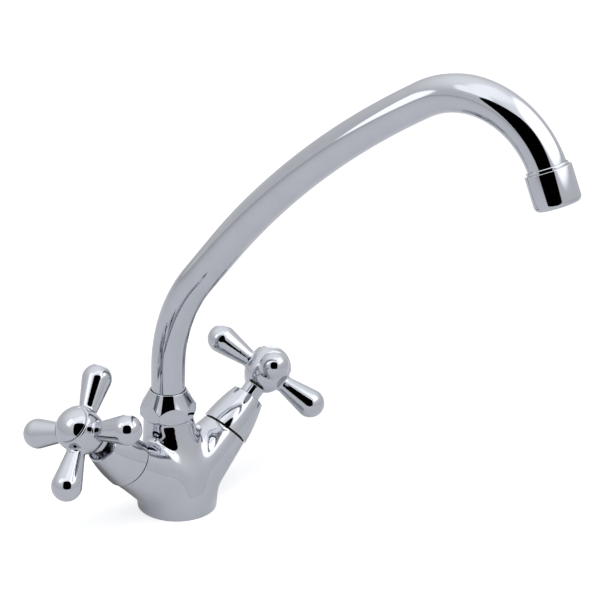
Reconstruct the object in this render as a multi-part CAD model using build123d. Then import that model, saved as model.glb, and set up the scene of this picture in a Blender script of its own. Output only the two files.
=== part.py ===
from build123d import *
import math
import os

# Two-handle kitchen mixer tap on one round foot, with a bent swivel spout.
# Millimetres. The deck is z = 0, the foot's axis is Z, the user stands on the -Y side.
# Each valve lies on its own axis, which leans out from the foot's axis. Heights called s run
# along that axis, from the point where both valve axes cross.

os.makedirs("parts", exist_ok=True)

# --- casting -------------------------------------------------------------------------
FOOT_D = 47.0            # round foot on the deck
FOOT_H = 9.0             # nearly straight rim above the deck
FOOT_LEAN = 0.7          # the rim leans out by this much
NECK_D = 29.2            # round neck that carries the spout
NECK_BACK = 8.5          # the spout's axis stands this far behind the foot's axis
NECK_TOP = 54.5          # where the nut seats
WAIST = (                # shares of the height, of the narrowing and of the lean back
    (0.40, 0.16, 0.035),
    (0.62, 0.35, 0.10),
    (0.735, 0.64, 0.45),
    (0.82, 0.90, 0.87),
)
ARM_D = 28.4             # round arm that holds a valve
ARM_END = 48.3           # end face of the arm, s
ARM_ROOT = 14.0          # start of the arm inside the casting, s
ARM_FLARE_MID = 0.45     # extra radius of the arm half way along, on its underside
FLARE_INSET = 0.8        # the arm's root comes down this far inside the foot's edge
FLARE_RISE = 0.8         # and no lower than this above the deck
VALVE_TILT = 47.5        # valve axis from the vertical
VALVE_CROSS_Z = 4.9      # height where the two valve axes cross
SADDLE_R = 6.8           # blend between arm, neck and foot

# --- deck side -----------------------------------------------------------------------
SEAL_INSET = 3.5         # middle of the rubber ring, in from the foot's edge
SEAL_W = 2.4
SEAL_H = 1.8
STUD_HOLE_D = 6.8        # tapping size of M8
STUD_HOLE_DEPTH = 14.0
STUD_BACK = 10.0
INLET_D = 8.92           # tapping size of M10 x 1
INLET_DEPTH = 11.0
INLET_SPREAD = 17.0      # between the two inlet hoses
INLET_FRONT = 5.0
WATERWAY_D = 6.0         # cored passages

# --- fits ----------------------------------------------------------------------------
RUN_GAP = 0.05           # radial play of every turning fit
FIT_GAP = 0.03           # radial play of parts that are screwed or pushed together
EDGE = 0.4               # small broken edges

# --- spout joint ---------------------------------------------------------------------
TUBE_D = 20.0
TUBE_WALL = 1.0
SOCKET_D = 19.0          # bore that the spout's foot turns in
SOCKET_DEPTH = 20.5      # below the neck's top
SOCKET_ROOM = 4.0        # water room under the spout's foot
NECK_THREAD_H = 5.5
SPOUT_FOOT_WALL = 3.0    # from the socket's bore in to the water
FLANGE_W = 2.2           # flange outside the tube
FLANGE_INSET = 0.8       # flange inside the nut's thread
FLANGE_H = 2.0
SLIDE_RING_H = 1.2
SPIGOT_H = 14.0          # brazed length inside the tube
RING_SECTION = 1.8       # O-rings of the spout
RING_SPACING = 8.0
NUT_WALL = 1.7           # from the neck's thread out to the nut's flats
NUT_H = 17.4
NUT_EDGE_H = 6.3         # height of the hexagon's corners above the neck
NUT_LIP = 0.5            # width of the flat rim round the tube
NUT_HOLLOW = 0.15        # how far the crown lies inside a straight cone
NUT_TUBE_GAP = 0.35
NUT_TURN = 33.7          # how far the nut happened to be tightened

# --- spout ---------------------------------------------------------------------------
SPOUT_SWING = 13.5       # the spout is shown swung towards the right handle
RISER_RUN = 22.2         # upright part above the flange
KNEE_R = 98.5
KNEE_TURN = 38.5
REACH_RUN = 30.5
SWEEP_R = 472.0
SWEEP_TURN = 20.3
HOOK_R = 51.8
HOOK_TURN = 97.6
OUTLET_RUN = 17.0        # straight end, down to the mouth of the aerator
BUSH_WALL = 1.0          # from the tube out to the aerator's thread
BUSH_COLLAR_H = 1.8
BUSH_COLLAR_W = 0.9
AERATOR_WALL = 1.2
AERATOR_H = 18.7
AERATOR_BEVEL = 1.4
AERATOR_LIP = 1.3        # inward lip that carries the jet former
TUBE_STOP = 9.0          # from the tube's end to the mouth
WASHER_H = 1.6
WASHER_W = 3.0
JET_WALL = 2.5
JET_PLATE_H = 1.4
GRID_RINGS = 3
GRID_HOLE_D = 1.7
GRID_PITCH = 2.7

# --- headwork ------------------------------------------------------------------------
INSERT_L = 20.3          # from the arm's end face down to the valve seat
INSERT_CLEAR = 0.6       # barrel ends this far above the seat
SEAT_HOLE_D = 9.0
CHAMBER_D = 18.6         # tapping size of G1/2
RELIEF_D = 22.0          # water room round the headwork
RELIEF_LIP = 1.0         # seat stands up in that room
BARREL_D = 16.8
DISC_ROOM_D = 14.4
SEAT_SEAL_H = 3.5
DISC_H = 3.2
DISC_GAP = 0.05          # axial play above the discs
PORT_ANGLE = 80.0        # each disc has two opposite ports of this width
PORT_EDGE = 1.4
PORT_CENTRE_R = 1.2
KEY_W = 2.6              # driver key under the spindle
KEY_H = 1.0
KEY_GAP = 0.1
DRIVER_H = 2.0
WINDOW_W = 7.2
WINDOW_H = 4.6
SPINDLE_D = 9.9
HEX_AF = 20.0
HEX_H = 7.0
COLLAR_RIM = 0.7         # collar outside its O-ring
COLLAR_H = 1.5
HEADWORK_NECK_D = 16.0
HEADWORK_NECK_H = 8.0
FACE_RING_SECTION = 1.3  # O-ring under the headwork's collar
FACE_RING_PLAY = 0.2
SPINDLE_RING_SECTION = 1.4
SPINDLE_RING_SPACING = 4.0
CLIP_H = 0.8
CLIP_D = 12.6
CLIP_MOUTH = 4.8         # opening of the retaining ring
SPLINE_D = 8.0
SPLINE_TEETH = 20
SPLINE_TOOTH = 0.5
SPLINE_START = 2.4       # above the headwork

# --- shroud --------------------------------------------------------------------------
SHROUD_GAP = 1.0         # dark seam between arm and shroud
SHROUD_H = 24.5
SHROUD_BASE_W = 0.7      # its base stands out this far past the arm
SHROUD_MOUTH_D = 17.8
SHROUD_TIP_D = 20.6
SHROUD_BULGE = 0.7       # how far its side bows out
SHROUD_WALL = 1.4
SHROUD_LIP_R = 0.9
SHROUD_WEB_UP = 2.0      # threaded web on the headwork's neck, above the hexagon
SHROUD_WEB_H = 3.5

# --- cross handle --------------------------------------------------------------------
HUB_OUT = 18.4           # plane of the four arms beyond the shroud's mouth
HUB_D = 26.0
HUB_BACK = 11.6          # from the arms' plane back to the stem
HUB_FRONT = 10.0
HUB_RIM_D = 23.6
HUB_WIDEST = 3.0         # height of the widest line above the arms' plane
HUB_SHOULDER_BACK = 4.8
HUB_SHOULDER_IN = 0.9
HUB_BACK_SLOPE = 0.45    # rise over run where the hub leaves the stem
HUB_RIM_LEAN = 0.5       # run over rise where it meets the rim
STEM_D = 12.6
STEM_CLEAR = 4.0         # end of the stem above the headwork
ARM_BALL_D = 17.4
ARM_REACH = 33.0         # hub axis to ball centre
ARM_NECK_D = 10.4
ARM_NECK_AT = 12.5
ARM_BLEND_R = 2.0
CAP_D = 21.6
CAP_H = 6.2
CAP_RIM_H = 0.9
CAP_WALL = 1.2
CAP_SPIGOT_D = 17.0
CAP_SPIGOT_H = 4.0
SPINDLE_END = 8.2        # end of the spindle below the arms' plane
SCREW_D = 4.0
SCREW_LENGTH = 12.0
SCREW_HOLE_PLAY = 0.25
SCREW_HEAD_D = 7.6
SCREW_HEAD_H = 2.8
SCREW_SLOT_W = 1.1
SCREW_SLOT_L = 5.3
SCREW_SLOT_DEPTH = 1.4
SCREW_WEB_H = 3.0
HANDLE_TURN = {"left": 23.8, "right": 48.3}   # rest angle of one arm about the valve axis

# --- places that follow from the sizes -----------------------------------------------
SIDES = {"left": -1, "right": 1}
PAST = 1.0               # every cut runs this far past the face it opens
FOOT_R = FOOT_D / 2
NECK_R = NECK_D / 2
ARM_R = ARM_D / 2
TILT = math.radians(VALVE_TILT)
ROOT_UNDER = min(
    (FOOT_R - FLARE_INSET - ARM_ROOT * math.sin(TILT)) / math.cos(TILT),
    (VALVE_CROSS_Z + ARM_ROOT * math.cos(TILT) - FLARE_RISE) / math.sin(TILT),
)
ARM_FLARE = (ROOT_UNDER - ARM_R) / 2
SHROUD_BASE_R = ARM_R + SHROUD_BASE_W
TUBE_R = TUBE_D / 2
TUBE_BORE_D = TUBE_D - 2 * TUBE_WALL
SOCKET_BOTTOM = NECK_TOP - SOCKET_DEPTH
FLANGE_D = TUBE_D + 2 * FLANGE_W
NECK_THREAD_D = FLANGE_D + 2 * FLANGE_INSET
NUT_AF = NECK_THREAD_D + 2 * NUT_WALL
FLANGE_BOTTOM = NECK_TOP + NECK_THREAD_H
FLANGE_TOP = FLANGE_BOTTOM + FLANGE_H
LIP_UNDER = FLANGE_TOP + SLIDE_RING_H + RUN_GAP
AERATOR_THREAD_D = TUBE_D + 2 * BUSH_WALL
AERATOR_D = AERATOR_THREAD_D + 2 * AERATOR_WALL
SEAT_S = ARM_END - INSERT_L
FIXED_DISC_S = SEAT_S + SEAT_SEAL_H
TURNING_DISC_S = FIXED_DISC_S + DISC_H
DRIVER_S = TURNING_DISC_S + DISC_H + DISC_GAP
DISC_ROOM_TOP = DRIVER_S + DRIVER_H + DISC_GAP
FACE_RING_D = CHAMBER_D + 2 * FACE_RING_SECTION
COLLAR_D = FACE_RING_D + 2 * (FACE_RING_PLAY + COLLAR_RIM)
HEX_TOP = ARM_END + COLLAR_H + HEX_H
HEADWORK_TOP = HEX_TOP + HEADWORK_NECK_H
SPINDLE_BORE_D = SPINDLE_D + 2 * RUN_GAP
SHROUD_LOW = ARM_END + SHROUD_GAP
SHROUD_END = SHROUD_LOW + SHROUD_H
HUB_S = SHROUD_END + HUB_OUT
STEM_BOTTOM = HEADWORK_TOP + STEM_CLEAR
SPINDLE_TOP = HUB_S - SPINDLE_END
SCREW_WEB_S = SPINDLE_TOP + RUN_GAP
SCREW_SEAT = SCREW_WEB_S + SCREW_WEB_H


def valve_plane(side):
    """Frame of one valve: z runs out along its axis, x points to the back of the tap."""
    out = (SIDES[side] * math.sin(TILT), 0, math.cos(TILT))
    return Plane(origin=(0, 0, VALVE_CROSS_Z), x_dir=(0, 1, 0), z_dir=out)


def turned(*lines):
    """Solid turned about Z from the lines of a closed outline of (radius, height)."""
    return revolve(Plane.XZ * make_face(Curve() + list(lines)), Axis.Z)


def rod(diameter, bottom, top):
    """Upright cylinder on Z."""
    return Pos(0, 0, (bottom + top) / 2) * Cylinder(diameter / 2, top - bottom)


def tube(outer, inner, bottom, top):
    """Upright ring on Z."""
    return rod(outer, bottom, top) - rod(inner, bottom - PAST, top + PAST)


def hexagon(across_flats, bottom, top, turn=0.0):
    """Upright hexagonal bar on Z."""
    outline = RegularPolygon(across_flats / 2, 6, major_radius=False, rotation=turn)
    return extrude(Pos(0, 0, bottom) * outline, top - bottom)


def o_ring(outside, section, height):
    """O-ring on Z whose outer edge lies on the given diameter."""
    return Pos(0, 0, height) * Torus((outside - section) / 2, section / 2)


def drilled(start, end, diameter):
    """Straight passage between two points."""
    run = Vector(*end) - Vector(*start)
    middle = Vector(*start) + run / 2
    return Plane(origin=middle, z_dir=run) * Cylinder(diameter / 2, run.length)


def save(name, shape):
    """One closed STEP file for each named piece."""
    export_step(shape, f"parts/{name}.step")


# --- casting -------------------------------------------------------------------------
def casting_core():
    """Foot that rises and leans back into the round neck."""
    rings = [(0, FOOT_R, 0), (FOOT_H, FOOT_R + FOOT_LEAN, 0)]
    for up, narrow, back in WAIST:
        rings.append((up * NECK_TOP, FOOT_R + (NECK_R - FOOT_R) * narrow, NECK_BACK * back))
    rings.append((NECK_TOP, NECK_R, NECK_BACK))
    sections = []
    for height, radius, back in rings:
        frame = Plane(origin=(0, back, height), x_dir=(0, 1, 0), z_dir=(0, 0, 1))
        sections.append(frame * Circle(radius))
    return loft(sections)


def casting_arm():
    """Right arm: a round bar that flares on its underside towards the foot."""
    frame = valve_plane("right")
    middle = (ARM_ROOT + ARM_END) / 2
    rings = ((ARM_ROOT, ARM_FLARE), (middle, ARM_FLARE_MID), (ARM_END, 0))
    return loft([frame * Pos(0, -grow, s) * Circle(ARM_R + grow) for s, grow in rings])


def saddle_radius():
    """Radius of the blend, held to what fits on the arm between the neck and its end face."""
    crossing = (NECK_R + ARM_R * math.cos(TILT)) / math.sin(TILT)
    return min(SADDLE_R, (ARM_END - crossing) * math.tan(TILT / 2))


def valve_room():
    """Everything cut out of the casting for one valve, on the valve's own axis."""
    room = rod(SEAT_HOLE_D, SEAT_S - SEAT_HOLE_D / 2, SEAT_S)
    room += rod(CHAMBER_D, SEAT_S, ARM_END + PAST)
    room += rod(RELIEF_D, SEAT_S + RELIEF_LIP, DISC_ROOM_TOP)
    ring_seat = FACE_RING_D + 2 * FACE_RING_PLAY
    return room + rod(ring_seat, ARM_END - FACE_RING_SECTION, ARM_END + PAST)


def waterways():
    """Right-hand passages: hose inlet to valve seat, and valve room to spout socket."""
    frame = valve_plane("right")
    inlet = (INLET_SPREAD / 2, -INLET_FRONT, 0)
    inlet_top = (INLET_SPREAD / 2, -INLET_FRONT, INLET_DEPTH)
    inlet_inside = (INLET_SPREAD / 2, -INLET_FRONT, INLET_DEPTH - PAST)
    seat = frame.from_local_coords((0, 0, SEAT_S - SEAT_HOLE_D / 4))
    room = frame.from_local_coords((RELIEF_D / 4, RELIEF_D / 4, SEAT_S + WATERWAY_D / 2 + RELIEF_LIP))
    socket = (0, NECK_BACK, SOCKET_BOTTOM + WATERWAY_D / 2)
    cuts = drilled(inlet, inlet_top, INLET_D)
    cuts += drilled(inlet_inside, tuple(seat), WATERWAY_D)
    return cuts + drilled(tuple(room), socket, WATERWAY_D)


def body_casting():
    core = casting_core()
    arm = casting_arm()
    other_arm = mirror(arm, about=Plane.YZ)
    body = core + arm + other_arm
    body = fillet(new_edges(core, arm, other_arm, combined=body), saddle_radius())
    neck = Pos(0, NECK_BACK, 0)
    body += neck * rod(NECK_THREAD_D, NECK_TOP, FLANGE_BOTTOM)
    body -= neck * rod(SOCKET_D, SOCKET_BOTTOM, FLANGE_BOTTOM + PAST)
    for side in SIDES:
        body -= valve_plane(side) * valve_room()
    passages = waterways()
    body -= passages
    body -= mirror(passages, about=Plane.YZ)
    body -= Pos(0, STUD_BACK, 0) * rod(STUD_HOLE_D, 0, STUD_HOLE_DEPTH)
    return body - base_seal()


def base_seal():
    middle = FOOT_D - 2 * SEAL_INSET
    return tube(middle + SEAL_W, middle - SEAL_W, 0, SEAL_H)


# --- spout joint ---------------------------------------------------------------------
def spout_nut():
    flat = NUT_AF / 2
    corner = NUT_AF / math.sqrt(3)
    rim = TUBE_R + NUT_TUBE_GAP + NUT_LIP
    top = NECK_TOP + NUT_H
    edge = NECK_TOP + NUT_EDGE_H
    crown_mid = ((rim + corner) / 2 - NUT_HOLLOW, (edge + top) / 2 - NUT_HOLLOW / 2)
    crown = ThreePointArc((corner, edge), crown_mid, (rim, top))
    inside = Polyline((rim, top), (0, top), (0, NECK_TOP), (flat, NECK_TOP))
    bevel = Polyline((flat, NECK_TOP), (corner, NECK_TOP + corner - flat), (corner, edge))
    nut = turned(crown, inside, bevel) & hexagon(NUT_AF, NECK_TOP, top, NUT_TURN)
    nut -= rod(NECK_THREAD_D + 2 * FIT_GAP, NECK_TOP - PAST, LIP_UNDER)
    nut -= rod(TUBE_D + 2 * NUT_TUBE_GAP, LIP_UNDER - PAST, top + PAST)
    return Pos(0, NECK_BACK, 0) * nut


def spout_foot():
    """Brass end of the spout: barrel with two grooves, flange and brazed spigot."""
    end = FLANGE_TOP + SPIGOT_H
    foot = rod(SOCKET_D - 2 * RUN_GAP, SOCKET_BOTTOM + SOCKET_ROOM, FLANGE_BOTTOM)
    foot += rod(FLANGE_D, FLANGE_BOTTOM, FLANGE_TOP)
    foot += rod(TUBE_BORE_D - 2 * FIT_GAP, FLANGE_TOP, end)
    foot -= rod(SOCKET_D - 2 * SPOUT_FOOT_WALL, SOCKET_BOTTOM, end + PAST)
    for height in ring_heights():
        foot -= ring_groove(SOCKET_D, RING_SECTION, height)
    return Pos(0, NECK_BACK, 0) * foot


def ring_groove(bore, section, height):
    """Cut for an O-ring that fills a running fit in the given bore."""
    floor = bore - RUN_GAP - 2 * section
    return tube(bore + PAST, floor, height - section / 2, height + section / 2)


def ring_heights():
    top = FLANGE_BOTTOM - RING_SPACING / 2
    return (top, top - RING_SPACING)


def spout_o_rings():
    rings = [o_ring(SOCKET_D - RUN_GAP, RING_SECTION, height) for height in ring_heights()]
    return Pos(0, NECK_BACK, 0) * (Part() + rings)


def slide_ring():
    ring = tube(FLANGE_D, TUBE_D + 2 * FIT_GAP, FLANGE_TOP, FLANGE_TOP + SLIDE_RING_H)
    return Pos(0, NECK_BACK, 0) * ring


# --- spout ---------------------------------------------------------------------------
def spout_frame():
    """Plane of the bent tube: x is the reach, y is up."""
    swing = math.radians(SPOUT_SWING)
    reach = Vector(math.sin(swing), -math.cos(swing), 0)
    return Plane(origin=(0, NECK_BACK, 0), x_dir=reach, z_dir=reach.cross(Vector(0, 0, 1)))


def spout_path():
    """Centre line from the flange to the mouth: upright, knee, run, long sweep, hook, outlet."""
    steps = ((KNEE_R, KNEE_TURN, REACH_RUN), (SWEEP_R, SWEEP_TURN, 0), (HOOK_R, HOOK_TURN, OUTLET_RUN))
    lines = [Line((0, FLANGE_TOP), (0, FLANGE_TOP + RISER_RUN))]
    at = lines[0] @ 1
    ahead = lines[0] % 1
    for radius, turn, run in steps:
        lines.append(JernArc(start=at, tangent=ahead, radius=radius, arc_size=-turn))
        at = lines[-1] @ 1
        ahead = lines[-1] % 1
        if run:
            lines.append(Line(at, at + ahead * run))
            at = lines[-1] @ 1
    return lines, at, ahead


def outlet_plane():
    """Frame of the aerator: origin at its mouth, z back up the spout."""
    _, mouth, ahead = spout_path()
    frame = spout_frame()
    origin = frame.from_local_coords(mouth)
    back_up = frame.from_local_coords(mouth - ahead) - origin
    return Plane(origin=origin, x_dir=frame.z_dir, z_dir=back_up)


def spout_tube():
    lines, mouth, ahead = spout_path()
    lines[-1] = Line(lines[-1] @ 0, mouth - ahead * TUBE_STOP)
    path = spout_frame() * Wire(lines)
    start = Plane(origin=(0, NECK_BACK, FLANGE_TOP), z_dir=(0, 0, 1))
    return sweep(start * (Circle(TUBE_R) - Circle(TUBE_BORE_D / 2)), path=path)


def outlet_bush():
    """Brazed end sleeve: a collar that shows above the aerator and a thread inside it.

    Its top may lie where the tube already bends, so there its bore is wider by the bend."""
    top = AERATOR_H + BUSH_COLLAR_H
    straight = min(OUTLET_RUN, top)
    bend = (top - straight) ** 2 / (2 * HOOK_R)
    bush = rod(TUBE_D + 2 * BUSH_COLLAR_W, AERATOR_H, top)
    bush += rod(AERATOR_THREAD_D, TUBE_STOP, AERATOR_H)
    bush -= rod(TUBE_D + 2 * FIT_GAP, TUBE_STOP - PAST, top + PAST)
    return bush - rod(TUBE_D + 2 * (FIT_GAP + bend), straight, top + PAST)


def aerator_housing():
    radius = AERATOR_D / 2
    outline = Polyline(
        (0, 0),
        (radius - AERATOR_BEVEL, 0),
        (radius - EDGE / 2, AERATOR_BEVEL),
        (radius, 2 * AERATOR_BEVEL),
        (radius, AERATOR_H - EDGE),
        (radius - EDGE, AERATOR_H),
        (0, AERATOR_H),
        close=True,
    )
    shell = turned(outline)
    shell -= rod(AERATOR_THREAD_D - 2 * AERATOR_LIP, -PAST, AERATOR_BEVEL + PAST)
    return shell - rod(AERATOR_THREAD_D + 2 * FIT_GAP, AERATOR_BEVEL, AERATOR_H + PAST)


def aerator_seal():
    outside = AERATOR_THREAD_D - 2 * FIT_GAP
    return tube(outside, outside - 2 * WASHER_W, TUBE_STOP - WASHER_H, TUBE_STOP)


def aerator_cartridge():
    """Plastic jet former with a round pattern of holes in its lower plate."""
    outside = AERATOR_THREAD_D - 2 * FIT_GAP
    body = rod(outside, AERATOR_BEVEL, TUBE_STOP - WASHER_H)
    body -= rod(outside - 2 * JET_WALL, AERATOR_BEVEL + JET_PLATE_H, TUBE_STOP)
    holes = [hexagon(GRID_HOLE_D, 0, TUBE_STOP)]
    for ring in range(1, GRID_RINGS + 1):
        for place in PolarLocations(ring * GRID_PITCH, 6 * ring):
            holes.append(place * hexagon(GRID_HOLE_D, 0, TUBE_STOP))
    return body - holes


# --- headwork, on its own axis -------------------------------------------------------
def headwork_body():
    """Brass insert: screwed into the arm, with water windows, collar, hexagon and neck."""
    work = rod(BARREL_D, SEAT_S + INSERT_CLEAR, DISC_ROOM_TOP)
    work += rod(CHAMBER_D - 2 * FIT_GAP, DISC_ROOM_TOP, ARM_END)
    work += rod(COLLAR_D, ARM_END, ARM_END + COLLAR_H)
    work += hexagon(HEX_AF, ARM_END + COLLAR_H, HEX_TOP)
    work += rod(HEADWORK_NECK_D, HEX_TOP, HEADWORK_TOP)
    work -= rod(DISC_ROOM_D, SEAT_S, DISC_ROOM_TOP)
    work -= rod(SPINDLE_BORE_D, DISC_ROOM_TOP - PAST, HEADWORK_TOP + PAST)
    window = Pos(0, 0, TURNING_DISC_S + WINDOW_H / 2) * Box(BARREL_D + PAST, WINDOW_W, WINDOW_H)
    return work - Rot(0, 0, PORT_ANGLE / 2) * window


def headwork_o_ring():
    section = FACE_RING_SECTION - FACE_RING_PLAY / 2
    return o_ring(FACE_RING_D + FACE_RING_PLAY, section, ARM_END - FACE_RING_SECTION / 2)


def seat_seal():
    return tube(DISC_ROOM_D - 2 * FIT_GAP, SEAT_HOLE_D, SEAT_S, FIXED_DISC_S)


def port(reach, bottom):
    """Cut for one port: a slice of a ring, from the x axis round by the port's angle."""
    far = PolarLine((0, 0), reach, PORT_ANGLE) @ 1
    near = PolarLine((0, 0), PORT_CENTRE_R, PORT_ANGLE) @ 1
    outline = Curve() + [
        Line((PORT_CENTRE_R, 0), (reach, 0)),
        CenterArc((0, 0), reach, 0, PORT_ANGLE),
        Line(far, near),
        CenterArc((0, 0), PORT_CENTRE_R, 0, PORT_ANGLE),
    ]
    return extrude(Pos(0, 0, bottom - PAST) * make_face(outline), DISC_H + 2 * PAST)


def fixed_disc():
    """Lower ceramic disc: two closed ports over the seat."""
    diameter = DISC_ROOM_D - 2 * FIT_GAP
    hole = port(diameter / 2 - PORT_EDGE, FIXED_DISC_S)
    return rod(diameter, FIXED_DISC_S, TURNING_DISC_S) - hole - Rot(0, 0, 180) * hole


def driver_bar(width):
    """Bar across the upper disc, over its two solid wings."""
    bar = Box(DISC_ROOM_D + PAST, width, KEY_H)
    return Pos(0, 0, TURNING_DISC_S + DISC_H - KEY_H / 2) * Rot(0, 0, 90 + PORT_ANGLE / 2) * bar


def turning_disc():
    """Upper ceramic disc: two wings that cover the ports, shown shut."""
    diameter = DISC_ROOM_D - 4 * RUN_GAP
    notch = port(diameter / 2 + PAST, TURNING_DISC_S)
    disc = rod(diameter, TURNING_DISC_S, TURNING_DISC_S + DISC_H) - notch - Rot(0, 0, 180) * notch
    return Rot(0, 0, 90) * (disc - driver_bar(KEY_W + 2 * KEY_GAP))


def spindle_ring_heights():
    middle = (DISC_ROOM_TOP + ARM_END) / 2
    return (middle - SPINDLE_RING_SPACING / 2, middle + SPINDLE_RING_SPACING / 2)


def spindle():
    """Turned stem: driver with a key at its foot, O-ring grooves, clip groove, splined end."""
    driver_d = DISC_ROOM_D - 4 * RUN_GAP
    shoulder = HEADWORK_TOP + SPLINE_START
    clip = HEADWORK_TOP + RUN_GAP
    stem = rod(driver_d, DRIVER_S, DRIVER_S + DRIVER_H)
    stem += rod(SPINDLE_D, DRIVER_S + DRIVER_H, shoulder)
    key = Pos(0, 0, DISC_GAP) * driver_bar(KEY_W)
    stem += Rot(0, 0, 90) * (key & rod(driver_d, TURNING_DISC_S, DRIVER_S))
    stem += spline(SPLINE_D, shoulder, SPINDLE_TOP)
    for height in spindle_ring_heights():
        stem -= ring_groove(SPINDLE_BORE_D, SPINDLE_RING_SECTION, height)
    stem -= tube(SPINDLE_D + PAST, SPLINE_D, clip, clip + CLIP_H)
    return stem - rod(SCREW_D + 2 * FIT_GAP, SPINDLE_TOP - SCREW_LENGTH, SPINDLE_TOP + PAST)


def spline(diameter, bottom, top, grow=0.0):
    """Bar with small pointed teeth all round."""
    points = []
    for corner in range(2 * SPLINE_TEETH):
        radius = diameter / 2 + grow - SPLINE_TOOTH * (corner % 2)
        angle = math.pi * corner / SPLINE_TEETH
        points.append((radius * math.cos(angle), radius * math.sin(angle)))
    return extrude(Pos(0, 0, bottom) * make_face(Polyline(*points, close=True)), top - bottom)


def spindle_o_rings():
    outside = SPINDLE_BORE_D - RUN_GAP
    return Part() + [o_ring(outside, SPINDLE_RING_SECTION, s) for s in spindle_ring_heights()]


def spindle_circlip():
    """Open retaining ring above the headwork."""
    low = HEADWORK_TOP + RUN_GAP
    ring = tube(CLIP_D, SPLINE_D, low, low + CLIP_H)
    return ring - Pos(CLIP_D / 2, 0, low) * Box(CLIP_D, CLIP_MOUTH, 4 * CLIP_H)


# --- shroud, on the valve axis -------------------------------------------------------
def shroud():
    """Turned bell that hides the headwork, screwed on its neck by an inner web."""
    tip = SHROUD_TIP_D / 2
    mouth = SHROUD_MOUTH_D / 2
    shoulder = SHROUD_END - SHROUD_LIP_R
    throat = (mouth, shoulder - SHROUD_LIP_R)
    lip_end = (tip - SHROUD_LIP_R, SHROUD_END)
    side_mid = ((SHROUD_BASE_R + tip) / 2 + SHROUD_BULGE, (SHROUD_LOW + shoulder) / 2)
    inner_mid = (side_mid[0] - SHROUD_WALL, side_mid[1])
    side = ThreePointArc((SHROUD_BASE_R, SHROUD_LOW), side_mid, (tip, shoulder))
    lip = TangentArc((tip, shoulder), lip_end, tangent=(0, 1))
    rest = Polyline(lip_end, (mouth, SHROUD_END), throat)
    inner = ThreePointArc((SHROUD_BASE_R - SHROUD_WALL, SHROUD_LOW), inner_mid, throat)
    foot = Line((SHROUD_BASE_R - SHROUD_WALL, SHROUD_LOW), (SHROUD_BASE_R, SHROUD_LOW))
    web_low = HEX_TOP + SHROUD_WEB_UP
    web_top = web_low + SHROUD_WEB_H
    shell = turned(side, lip, rest, inner, foot) + rod(2 * inner_mid[0] + SHROUD_WALL / 2, web_low, web_top)
    return shell - rod(HEADWORK_NECK_D + 2 * FIT_GAP, web_low - PAST, web_top + PAST)


# --- cross handle, on the valve axis -------------------------------------------------
def handle_arm():
    """One arm along X: a cone that runs tangent into its ball."""
    ball = ARM_BALL_D / 2
    neck = ARM_NECK_D / 2
    run = ARM_REACH - ARM_NECK_AT
    taper = math.asin(ball / math.hypot(run, neck)) - math.atan2(neck, run)
    meet = (ARM_REACH - ball * math.sin(taper), ball * math.cos(taper))
    root = meet[1] - meet[0] * math.tan(taper)
    cheek = Vector(ARM_REACH, 0) + Vector(ball, 0).rotate(Axis.Z, 45)
    tip = (ARM_REACH + ball, 0)
    cone = Polyline(tip, (0, 0), (0, root), meet)
    cap = ThreePointArc(meet, cheek, tip)
    return revolve(make_face(Curve() + [cone, cap]), Axis.X)


def hub_body():
    """Hub and stem turned in one, heights from the arms' plane."""
    rim = HUB_RIM_D / 2
    stem = STEM_D / 2
    end = STEM_BOTTOM - HUB_S
    belly = Spline(
        (stem, -HUB_BACK),
        (HUB_D / 2 - HUB_SHOULDER_IN, -HUB_SHOULDER_BACK),
        (HUB_D / 2, HUB_WIDEST),
        (rim, HUB_FRONT),
        tangents=((1, HUB_BACK_SLOPE), (-HUB_RIM_LEAN, 1)),
    )
    inside = Polyline((rim, HUB_FRONT), (0, HUB_FRONT), (0, end), (stem, end), (stem, -HUB_BACK))
    return turned(belly, inside)


def cross_handle(side):
    """Hub, stem and four ball-ended arms in one casting, bored for spindle, screw and cap."""
    hub = hub_body()
    arms = [Rot(0, 0, 90 * quarter) * handle_arm() for quarter in range(4)]
    body = hub + arms
    body = fillet(new_edges(hub, *arms, combined=body), ARM_BLEND_R)
    handle = Pos(0, 0, HUB_S) * Rot(0, 0, HANDLE_TURN[side]) * body
    handle -= rod(CAP_SPIGOT_D + 2 * FIT_GAP, SCREW_SEAT, HUB_S + HUB_FRONT + PAST)
    handle -= rod(SCREW_D + 2 * SCREW_HOLE_PLAY, SCREW_WEB_S - PAST, SCREW_SEAT + PAST)
    return handle - spline(SPLINE_D, STEM_BOTTOM - PAST, SCREW_WEB_S, FIT_GAP)


def index_cap():
    """Plain domed cap pushed into the front of the hub."""
    radius = CAP_D / 2
    low = HUB_S + HUB_FRONT
    edge = low + CAP_RIM_H
    top = low + CAP_H
    dome_r = (radius ** 2 + (top - edge) ** 2) / (2 * (top - edge))
    half = math.asin(radius / dome_r) / 2
    dome_mid = (dome_r * math.sin(half), top - dome_r * (1 - math.cos(half)))
    dome = ThreePointArc((radius, edge), dome_mid, (0, top))
    cap = turned(dome, Polyline((0, top), (0, low), (radius, low), (radius, edge)))
    cap += rod(CAP_SPIGOT_D, low - CAP_SPIGOT_H, low)
    return cap - rod(CAP_SPIGOT_D - 2 * CAP_WALL, low - CAP_SPIGOT_H - PAST, edge)


def handle_screw():
    """Cross-slotted screw that holds the handle on its spindle."""
    top = SCREW_SEAT + SCREW_HEAD_H
    screw = rod(SCREW_D, SCREW_SEAT - SCREW_LENGTH + PAST, SCREW_SEAT)
    screw += rod(SCREW_HEAD_D, SCREW_SEAT, top)
    slot = Pos(0, 0, top) * Box(SCREW_SLOT_L, SCREW_SLOT_W, 2 * SCREW_SLOT_DEPTH)
    return screw - slot - Rot(0, 0, 90) * slot


# --- all pieces ----------------------------------------------------------------------
save("body_casting", body_casting())
save("base_seal", base_seal())
save("spout_nut", spout_nut())
save("spout_foot", spout_foot())
save("spout_o_rings", spout_o_rings())
save("slide_ring", slide_ring())
save("spout_tube", spout_tube())

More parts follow.
